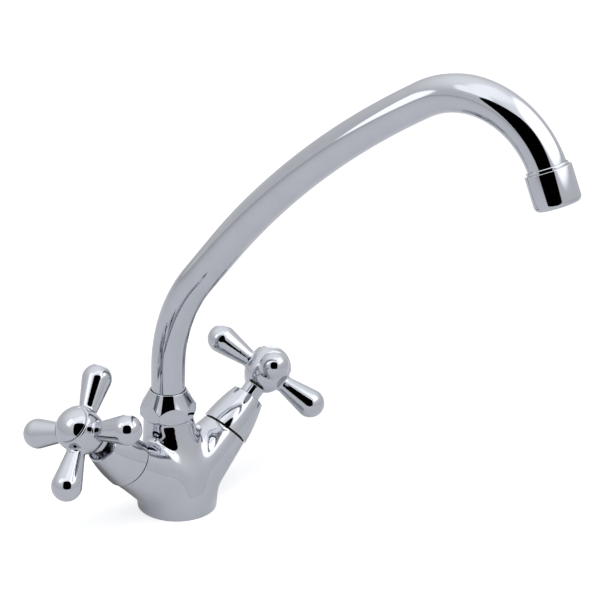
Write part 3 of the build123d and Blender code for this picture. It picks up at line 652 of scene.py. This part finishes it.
reach = Vector((math.sin(SPOUT_SWING), -math.cos(SPOUT_SWING), 0))
up = Vector((0, 0, 1))
bend_axis = up.cross(reach)
at = Vector((0, NECK_BACK, TUBE_START))
bpy.ops.object.select_all(action="DESELECT")
bpy.ops.mesh.primitive_circle_add(vertices=TUBE_SIDES, radius=TUBE_R, fill_type="NOTHING", location=at)
tube = bpy.context.object
tube.name = "spout_bent_tube"
bpy.ops.object.mode_set(mode="EDIT")
bpy.ops.mesh.select_all(action="SELECT")
bpy.ops.mesh.extrude_region_move(TRANSFORM_OT_translate={"value": up * RISER_RUN})
at = at + up * RISER_RUN
heading = up.copy()
for radius, turn, run, steps in (KNEE, SWEEP, HOOK):
    centre = at + heading.cross(bend_axis) * -radius
    bpy.ops.mesh.spin(steps=steps, angle=-turn, center=centre, axis=bend_axis)
    swing = Matrix.Rotation(turn, 3, bend_axis)
    at = centre + swing @ (at - centre)
    heading = swing @ heading
    if run:
        length = run - (TUBE_STOP if radius == HOOK[0] else 0)
        bpy.ops.mesh.extrude_region_move(TRANSFORM_OT_translate={"value": heading * length})
        at = at + heading * run
aerator_mouth = at
bpy.ops.mesh.select_all(action="SELECT")
bpy.ops.mesh.remove_doubles(threshold=HAIR)
bpy.ops.mesh.select_all(action="SELECT")
bpy.ops.mesh.normals_make_consistent(inside=False)
bpy.ops.object.mode_set(mode="OBJECT")
place(tube, Matrix.Identity(4))
finish_with(tube, "SOLIDIFY", thickness=TUBE_WALL, offset=-1.0)
smooth_shading(tube)
polished_tube = chrome_plate("chrome_on_drawn_tube", wave=22 * MM, depth=0.010 * MM, polish=0.03)
give(tube, polished_tube)
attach(tube, "spout")
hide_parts("spout_tube")

# --- outlet: bush and aerator housing ------------------------------------------------
# A turned brass bush is brazed round the tube's end, and the aerator's bored housing screws
# up on it. Both are polished and plated like the tube.
AERATOR_R = 12.2 * MM
AERATOR_H = 18.7 * MM
AERATOR_THREAD_R = 11.0 * MM
AERATOR_BEVEL = 1.4 * MM
AERATOR_MOUTH_R = 9.7 * MM
AERATOR_EDGE = 0.4 * MM
AERATOR_LIP = 0.3 * MM
THREAD_GAP = 0.03 * MM
BUSH_COLLAR_R = 10.9 * MM
BUSH_COLLAR_H = 1.8 * MM
BUSH_BORE_R = 10.03 * MM

outlet_axes = Matrix((bend_axis, (-heading).cross(bend_axis), -heading)).transposed()
outlet = Matrix.Translation(aerator_mouth) @ outlet_axes.to_4x4()
collar_round = (
    (BUSH_COLLAR_R, AERATOR_H + BUSH_COLLAR_H * 0.6),
    (BUSH_COLLAR_R - 0.25 * MM, AERATOR_H + BUSH_COLLAR_H * 0.9),
    (BUSH_BORE_R + 0.1 * MM, AERATOR_H + BUSH_COLLAR_H),
)
bush = turned("outlet_threaded_bush", [
    (BUSH_BORE_R, TUBE_STOP),
    (AERATOR_THREAD_R, TUBE_STOP),
    (AERATOR_THREAD_R, AERATOR_H),
    (BUSH_COLLAR_R, AERATOR_H),
    collar_round[0],
] + arc_through(*collar_round, steps=5), sides=128)
mouth_round = (
    (AERATOR_R - AERATOR_BEVEL, 0),
    (AERATOR_R - 0.34 * MM, 1.2 * MM),
    (AERATOR_R, 2 * AERATOR_BEVEL),
)
edge_round = (
    (AERATOR_R, AERATOR_H - AERATOR_EDGE),
    (AERATOR_R - 0.12 * MM, AERATOR_H - 0.12 * MM),
    (AERATOR_R - AERATOR_EDGE, AERATOR_H),
)
housing = turned("aerator_turned_housing", [
    (AERATOR_MOUTH_R, AERATOR_BEVEL),
    (AERATOR_MOUTH_R, AERATOR_LIP),
    (AERATOR_MOUTH_R + AERATOR_LIP, 0),
    mouth_round[0],
] + arc_through(*mouth_round, steps=8) + [
    edge_round[0],
] + arc_through(*edge_round, steps=4) + [
    (AERATOR_THREAD_R + THREAD_GAP, AERATOR_H),
    (AERATOR_THREAD_R + THREAD_GAP, AERATOR_BEVEL),
], sides=128)
for part, node in ((bush, "outlet_bush"), (housing, "aerator_housing")):
    place(part, outlet)
    smooth_shading(part)
    give(part, polished_tube)
    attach(part, "spout")
    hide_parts(node)

# --- aerator cartridge ---------------------------------------------------------------
# Moulded grey acetal, pushed up into the housing against its seal. The mould's spark-eroded
# faces leave a fine matt grain.
CARTRIDGE_GREY = "#BDBFC1"
CARTRIDGE_SHADE = "#AEB1B4"
SPARK_GRAIN = 0.15 * MM

cartridge = mottled("moulded_grey_acetal", (CARTRIDGE_GREY, CARTRIDGE_SHADE), rough=(0.45, 0.62),
                    grain=SPARK_GRAIN, depth=0.012 * MM)
refinish(["aerator_cartridge"], cartridge)

# --- shrouds -------------------------------------------------------------------------
# A thin bell turned from brass over each valve, screwed to the headwork's neck by an inner
# web. It stands 1.3 mm off the arm, and its side bows out a little.
SHROUD_LOW = 49.6 * MM
SHROUD_END = 73.8 * MM
SHROUD_BASE_R = 14.9 * MM
SHROUD_TIP_R = 10.3 * MM
SHROUD_MOUTH_R = 8.9 * MM
SHROUD_BULGE = 0.7 * MM
SHROUD_WALL = 1.4 * MM
SHROUD_LIP = 0.9 * MM
LIP_ROUND = (0.293, 0.707)    # middle of the lip's quarter round, as shares of its radius
WEB_LOW = 58.8 * MM
WEB_TOP = 62.3 * MM
WEB_BORE_R = 8.03 * MM

shroud_middle = ((SHROUD_BASE_R + SHROUD_TIP_R) / 2 + SHROUD_BULGE,
                 (SHROUD_LOW + SHROUD_END - SHROUD_LIP) / 2)
shroud_inside = (shroud_middle[0] - SHROUD_WALL, shroud_middle[1])
shoulder = (SHROUD_TIP_R, SHROUD_END - SHROUD_LIP)
lip_middle = (shoulder[0] - LIP_ROUND[0] * SHROUD_LIP, shoulder[1] + LIP_ROUND[1] * SHROUD_LIP)
throat = (SHROUD_MOUTH_R, SHROUD_END - 2 * SHROUD_LIP)
inner_base = (SHROUD_BASE_R - SHROUD_WALL, SHROUD_LOW)
inner_wall = arc_through(throat, shroud_inside, inner_base, steps=24)
above_web = [p for p in inner_wall if p[1] > WEB_TOP]
below_web = [p for p in inner_wall if p[1] < WEB_LOW]
base = (SHROUD_BASE_R, SHROUD_LOW)
shroud_outline = [base] + arc_through(base, shroud_middle, shoulder, steps=24)
shroud_outline += arc_through(shoulder, lip_middle, (SHROUD_TIP_R - SHROUD_LIP, SHROUD_END), steps=6)
shroud_outline += [(SHROUD_MOUTH_R, SHROUD_END), throat] + above_web
shroud_outline += [(above_web[-1][0], WEB_TOP), (WEB_BORE_R, WEB_TOP), (WEB_BORE_R, WEB_LOW)]
shroud_outline += [(below_web[0][0], WEB_LOW)] + below_web
for side in SIDES:
    shroud = turned(f"{side}_valve_shroud", shroud_outline, sides=144)
    place(shroud, valve_frame(side))
    smooth_shading(shroud)
    give(shroud, polished_tube)
    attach(shroud, "tap_body")
    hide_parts(f"{side}_shroud")

# --- cross handles -------------------------------------------------------------------
# Each handle is one zinc casting: a hub with its stem, and four arms that swell into balls.
# The roots of the arms are blended by the casting's fillets and the buffing wheel.
HUB_S = 92.2 * MM
HUB_R = 13.0 * MM
HUB_BACK = 11.6 * MM
HUB_FRONT = 10.0 * MM
HUB_RIM_R = 11.8 * MM
HUB_WIDEST = 3.0 * MM
HUB_SHOULDER_BACK = 4.8 * MM
HUB_SHOULDER_IN = 0.9 * MM
HUB_BACK_SLOPE = 0.45         # rise over run where the hub leaves the stem
HUB_RIM_LEAN = 0.5            # run over rise where it meets the rim
STEM_R = 6.3 * MM
STEM_BOTTOM = 68.8 * MM
BALL_R = 8.7 * MM
BALL_REACH = 33.0 * MM
WRIST_R = 5.2 * MM            # thinnest place of an arm, next to the hub
WRIST_AT = 12.5 * MM
ROOT_START = 9.6 * MM         # the arms begin inside the hub's wall
CAP_BORE_R = 8.53 * MM
SPINDLE_BORE_R = 4.03 * MM
SCREW_BORE_R = 2.25 * MM
SCREW_WEB_LOW = 84.05 * MM
SCREW_WEB_TOP = 87.05 * MM
ROOT_REACH = 3.5 * MM         # how far the soft blend runs out from each root
ROOT_PASSES = 60
HANDLE_GRAIN = 0.4 * MM
HANDLE_PASSES = 4
HANDLE_TURN = {"left": math.radians(23.8), "right": math.radians(48.3)}


def hub_profile(steps):
    """Side of the hub from the stem to the rim, as (radius, height from the arms' plane)."""
    knots = [
        (STEM_R, -HUB_BACK),
        (HUB_R - HUB_SHOULDER_IN, -HUB_SHOULDER_BACK),
        (HUB_R, HUB_WIDEST),
        (HUB_RIM_R, HUB_FRONT),
    ]
    run = [0.0]
    for (r0, h0), (r1, h1) in zip(knots, knots[1:]):
        run.append(run[-1] + math.hypot(r1 - r0, h1 - h0))
    back = math.hypot(1, HUB_BACK_SLOPE)
    rim = math.hypot(1, HUB_RIM_LEAN)
    radii = smooth_line([(t, knot[0]) for t, knot in zip(run, knots)],
                        (1 / back, -HUB_RIM_LEAN / rim))
    heights = smooth_line([(t, knot[1]) for t, knot in zip(run, knots)],
                          (HUB_BACK_SLOPE / back, 1 / rim))
    return [(radii(run[-1] * i / steps), heights(run[-1] * i / steps)) for i in range(steps + 1)]


hub_line = hub_profile(steps=44)


def hub_outline():
    """Outline of hub and stem, with the bores for spindle, screw and cap."""
    return [
        (SPINDLE_BORE_R, STEM_BOTTOM),
        (STEM_R, STEM_BOTTOM),
        *[(radius, HUB_S + height) for radius, height in hub_line],
        (CAP_BORE_R, HUB_S + HUB_FRONT),
        (CAP_BORE_R, SCREW_WEB_TOP),
        (SCREW_BORE_R, SCREW_WEB_TOP),
        (SCREW_BORE_R, SCREW_WEB_LOW),
        (SPINDLE_BORE_R, SCREW_WEB_LOW),
    ]


def arm_outline():
    """Outline of one arm, upright: a cone that runs tangent into its ball."""
    run = BALL_REACH - WRIST_AT
    taper = math.asin(BALL_R / math.hypot(run, WRIST_R)) - math.atan2(WRIST_R, run)
    meet = (BALL_R * math.cos(taper), BALL_REACH - BALL_R * math.sin(taper))
    root_r = meet[0] - (meet[1] - ROOT_START) * math.tan(taper)
    cheek = (BALL_R * math.sqrt(0.5), BALL_REACH + BALL_R * math.sqrt(0.5))
    ball = arc_through(meet, cheek, (0, BALL_REACH + BALL_R), steps=40)
    return [(0, ROOT_START), (root_r, ROOT_START), meet] + ball


def hub_gap(point):
    """Distance of a point from the hub's side, for a point in the handle's own frame."""
    radius = math.hypot(point.x, point.y)
    return min(math.hypot(radius - r, point.z - HUB_S - h) for r, h in hub_line)


def root_gap(point):
    """Distance of a point from the nearest arm, for an arm along x or y."""
    along = max(abs(point.x), abs(point.y))
    aside = math.hypot(min(abs(point.x), abs(point.y)), point.z - HUB_S)
    run = BALL_REACH - WRIST_AT
    return aside - WRIST_R - (BALL_R - WRIST_R) * max(0.0, along - WRIST_AT) / run


hub = turned("hub", hub_outline(), sides=144)
lie = Matrix.Rotation(math.pi / 2, 4, "Y")
cross = []
for quarter in range(4):
    swing = Matrix.Rotation(quarter * math.pi / 2, 4, "Z")
    arm = turned(f"arm_{quarter}", arm_outline(), sides=96)
    cross.append(place(arm, Matrix.Translation((0, 0, HUB_S)) @ swing @ lie))
handle = join([hub] + cross, "cross_handle")
finish_with(handle, "REMESH", mode="VOXEL", voxel_size=HANDLE_GRAIN, adaptivity=0.0)
roots = handle.vertex_groups.new(name="roots")
for vertex in handle.data.vertices:
    near = max(0.0, 1 - max(hub_gap(vertex.co), abs(root_gap(vertex.co))) / ROOT_REACH)
    roots.add([vertex.index], near * near * (3 - 2 * near), "REPLACE")
finish_with(handle, "SMOOTH", factor=0.5, iterations=ROOT_PASSES, vertex_group="roots")
finish_with(handle, "SMOOTH", factor=0.5, iterations=HANDLE_PASSES)
for side in SIDES:
    pick(handle)
    bpy.ops.object.duplicate()
    made = bpy.context.object
    made.name = f"{side}_buffed_handle"
    place(made, valve_frame(side) @ Matrix.Rotation(HANDLE_TURN[side], 4, "Z"))
    smooth_shading(made)
    give(made, buffed_casting)
    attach(made, f"{side}_handle")
    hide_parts(f"{side}_cross_handle")
bpy.data.objects.remove(handle)

# --- index caps ----------------------------------------------------------------------
# A plain pressed brass dome snaps into the front of each hub over the screw. It is polished
# and plated like the tube.
CAP_R = 10.8 * MM
CAP_H = 6.2 * MM
CAP_RIM_H = 0.9 * MM
CAP_WALL = 1.2 * MM
CAP_SPIGOT_R = 8.5 * MM
CAP_SPIGOT_H = 4.0 * MM
CAP_EDGE = 0.15 * MM

cap_low = HUB_S + HUB_FRONT
dome_rise = CAP_H - CAP_RIM_H
dome_r = (CAP_R ** 2 + dome_rise ** 2) / (2 * dome_rise)
dome_half = math.asin(CAP_R / dome_r) / 2
dome_middle = (dome_r * math.sin(dome_half), cap_low + CAP_H - dome_r * (1 - math.cos(dome_half)))
dome_rim = (CAP_R, cap_low + CAP_RIM_H)
for side in SIDES:
    cap = turned(f"{side}_domed_cap", [
        (0, cap_low + CAP_RIM_H),
        (CAP_SPIGOT_R - CAP_WALL, cap_low + CAP_RIM_H),
        (CAP_SPIGOT_R - CAP_WALL, cap_low - CAP_SPIGOT_H),
        (CAP_SPIGOT_R, cap_low - CAP_SPIGOT_H),
        (CAP_SPIGOT_R, cap_low),
        (CAP_R - CAP_EDGE, cap_low),
        (CAP_R, cap_low + CAP_EDGE),
        dome_rim,
    ] + arc_through(dome_rim, dome_middle, (0, cap_low + CAP_H), steps=24), sides=128)
    place(cap, valve_frame(side))
    smooth_shading(cap)
    give(cap, polished_tube)
    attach(cap, f"{side}_handle")
    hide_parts(f"{side}_index_cap")

# --- studio --------------------------------------------------------------------------
# White floor and background, one soft lamp overhead, and a light tent that only the chrome
# sees: bright panels beside the black opening that the camera looks through.
AZIMUTH = -38.04              # degrees round from the front
ELEVATION = 23.41             # degrees up
DISTANCE = 1.21373
LOOK_AT = Vector((0, 0, 0.1))
YAW = math.radians(3.35)
PITCH = math.radians(-1.33)
ROLL = math.radians(-0.03)
SENSOR = 36.0
FOCAL_PIXELS = 2098.24
PHOTO_WIDTH = 600
TENT_WALL = 0.80              # brightness of the tent in the chrome: its walls
TENT_TOP = 1.35               # and its top; the camera sees 1
TENT_EAVES = 0.15             # height, as the sine of the elevation, where the walls start to lighten
AMBIENT = 0.45                # the room's own light on matt surfaces
FLOOR_GLOW = 0.62             # lifts the paper to white for the camera, and keeps its shadows
FLOOR_GLOW_MIRRORED = 0.25    # the same in the chrome
FLOOR_SIZE = 8.0
LAMP_SIZE = 1.6
LAMP_POWER = 14.0
LAMP_AT = Vector((-0.3, -0.4, 1.7))


def direction(azimuth, elevation):
    """The way from the tap to a place seen at these angles, in degrees."""
    a, e = math.radians(azimuth), math.radians(elevation)
    return Vector((math.sin(a) * math.cos(e), -math.cos(a) * math.cos(e), math.sin(e)))


camera_back = direction(AZIMUTH, ELEVATION)
camera_data = bpy.data.cameras.new("camera")
camera = bpy.data.objects.new("camera", camera_data)
bpy.context.scene.collection.objects.link(camera)
aim = (-camera_back).to_track_quat("-Z", "Y").to_matrix()
aim = aim @ Matrix.Rotation(-YAW, 3, "Y") @ Matrix.Rotation(-PITCH, 3, "X")
aim = aim @ Matrix.Rotation(ROLL, 3, "Z")
camera.matrix_world = Matrix.Translation(LOOK_AT + camera_back * DISTANCE) @ aim.to_4x4()
camera_data.sensor_width = SENSOR
camera_data.lens = FOCAL_PIXELS / PHOTO_WIDTH * SENSOR
bpy.context.scene.camera = camera

bpy.context.scene.view_settings.view_transform = "Standard"
world = bpy.data.worlds.new("studio")
bpy.context.scene.world = world
world.use_nodes = True
tree = world.node_tree
tree.nodes.clear()
rays = add_node(tree, "ShaderNodeLightPath")
seen = add_node(tree, "ShaderNodeMath", {"operation": "MAXIMUM"},
                links={0: rays.outputs["Is Camera Ray"], 1: rays.outputs["Is Glossy Ray"]})
seen = add_node(tree, "ShaderNodeMath", {"operation": "MAXIMUM"},
                links={0: seen.outputs["Value"], 1: rays.outputs["Is Transmission Ray"]})
ambient = add_node(tree, "ShaderNodeBackground",
                   values={"Color": linear("#F4F5F7"), "Strength": AMBIENT})
upward = add_node(tree, "ShaderNodeSeparateXYZ",
                  links={"Vector": add_node(tree, "ShaderNodeTexCoord").outputs["Generated"]})
walls = add_node(tree, "ShaderNodeMapRange", {"interpolation_type": "SMOOTHSTEP"},
                 {"From Min": TENT_EAVES, "To Min": TENT_WALL, "To Max": TENT_TOP},
                 {"Value": upward.outputs["Z"]})
tent = add_node(tree, "ShaderNodeMix", {"data_type": "FLOAT"}, {"B": 1.0},
                {"Factor": rays.outputs["Is Camera Ray"], "A": walls.outputs["Result"]})
backdrop = add_node(tree, "ShaderNodeBackground", values={"Color": linear("#FFFFFF")},
                    links={"Strength": tent.outputs["Result"]})
mixed = add_node(tree, "ShaderNodeMixShader", links={"Fac": seen.outputs["Value"]})
tree.links.new(ambient.outputs["Background"], mixed.inputs[1])
tree.links.new(backdrop.outputs["Background"], mixed.inputs[2])
sky = add_node(tree, "ShaderNodeOutputWorld")
tree.links.new(mixed.outputs["Shader"], sky.inputs["Surface"])

bpy.ops.object.select_all(action="DESELECT")
bpy.ops.mesh.primitive_plane_add(size=FLOOR_SIZE, location=(0, 0, 0))
floor = bpy.context.object
floor.name = "floor"
paper, tree, output = new_material("white_paper_floor")
rays = add_node(tree, "ShaderNodeLightPath")
matt = add_node(tree, "ShaderNodeBsdfDiffuse", values={"Color": linear("#E6E6E8")})
mirrored = add_node(tree, "ShaderNodeMath", {"operation": "MULTIPLY"}, {1: FLOOR_GLOW_MIRRORED},
                    {0: rays.outputs["Is Glossy Ray"]})
level = add_node(tree, "ShaderNodeMath", {"operation": "MULTIPLY_ADD"}, {1: FLOOR_GLOW},
                 {0: rays.outputs["Is Camera Ray"], 2: mirrored.outputs["Value"]})
glow = add_node(tree, "ShaderNodeEmission", values={"Color": linear("#FFFFFF")},
                links={"Strength": level.outputs["Value"]})
both = add_node(tree, "ShaderNodeAddShader")
tree.links.new(matt.outputs["BSDF"], both.inputs[0])
tree.links.new(glow.outputs["Emission"], both.inputs[1])
tree.links.new(both.outputs["Shader"], output.inputs["Surface"])
give(floor, paper)

lamp_data = bpy.data.lights.new("softbox", "AREA")
lamp_data.shape = "DISK"
lamp_data.size = LAMP_SIZE
lamp_data.energy = LAMP_POWER
lamp = bpy.data.objects.new("softbox", lamp_data)
bpy.context.scene.collection.objects.link(lamp)
lamp.location = LAMP_AT
lamp.rotation_euler = (LOOK_AT - LAMP_AT).to_track_quat("-Z", "Y").to_euler()
lamp.visible_glossy = False


def tent_panel(name, where, facing, width, height, strength, soft):
    """A round panel with soft edges in the tent, seen by reflections only."""
    bpy.ops.object.select_all(action="DESELECT")
    bpy.ops.mesh.primitive_plane_add(size=2.0)
    panel = bpy.context.object
    panel.name = name
    panel.scale = (width / 2, height / 2, 1.0)
    panel.rotation_euler = facing.to_track_quat("Z", "Y").to_euler()
    panel.location = where
    material, tree, output = new_material(name)
    spot = add_node(tree, "ShaderNodeTexCoord").outputs["Object"]
    rounded = add_node(tree, "ShaderNodeVectorMath", {"operation": "MULTIPLY"},
                       links={0: spot, 1: spot})
    rounded = add_node(tree, "ShaderNodeVectorMath", {"operation": "LENGTH"},
                       links={0: rounded.outputs["Vector"]})
    edge = add_node(tree, "ShaderNodeMapRange", {"interpolation_type": "SMOOTHSTEP"},
                    {"From Min": 1 - soft, "From Max": 1.0, "To Min": 1.0, "To Max": 0.0},
                    {"Value": rounded.outputs["Value"]})
    light = add_node(tree, "ShaderNodeEmission",
                     values={"Color": linear("#FFFFFF"), "Strength": strength})
    clear = add_node(tree, "ShaderNodeBsdfTransparent")
    faded = add_node(tree, "ShaderNodeMixShader", links={"Fac": edge.outputs["Result"]})
    tree.links.new(clear.outputs["BSDF"], faded.inputs[1])
    tree.links.new(light.outputs["Emission"], faded.inputs[2])
    tree.links.new(faded.outputs["Shader"], output.inputs["Surface"])
    give(panel, material)
    panel.visible_camera = False
    panel.visible_diffuse = False
    panel.visible_transmission = False
    panel.visible_shadow = False


PANELS = {                    # azimuth, elevation, distance, width, height, strength, softness
    "right_softbox": (30, 45, 0.62, 0.72, 0.46, 2.2, 0.5),
    "left_softbox": (-100, 36, 0.35, 0.16, 0.22, 2.0, 0.5),
    "top_softbox": (-10, 76, 0.62, 0.60, 0.34, 1.7, 0.8),
    "upper_left_softbox": (-76, 58, 0.62, 0.30, 0.34, 1.7, 0.6),
    "back_softbox": (135, 12, 0.62, 0.40, 0.44, 1.7, 0.6),
    "camera_opening": (-38, 23.4, 0.45, 0.50, 0.50, 0.0, 0.06),
}
for name, (azimuth, elevation, distance, width, height, strength, soft) in PANELS.items():
    spot = LOOK_AT + direction(azimuth, elevation) * distance
    tent_panel(name, spot, LOOK_AT - spot, width, height, strength, soft)

# A painted shadow: a dim patch on the paper at the back left of the foot, which only the
# chrome shows.
PAINTED_FLOOR_SHADOW = Vector((-0.042, 0.034, 0.0005))
tent_panel("painted_floor_shadow", PAINTED_FLOOR_SHADOW, up, width=0.09, height=0.08, strength=0.22, soft=1.0)
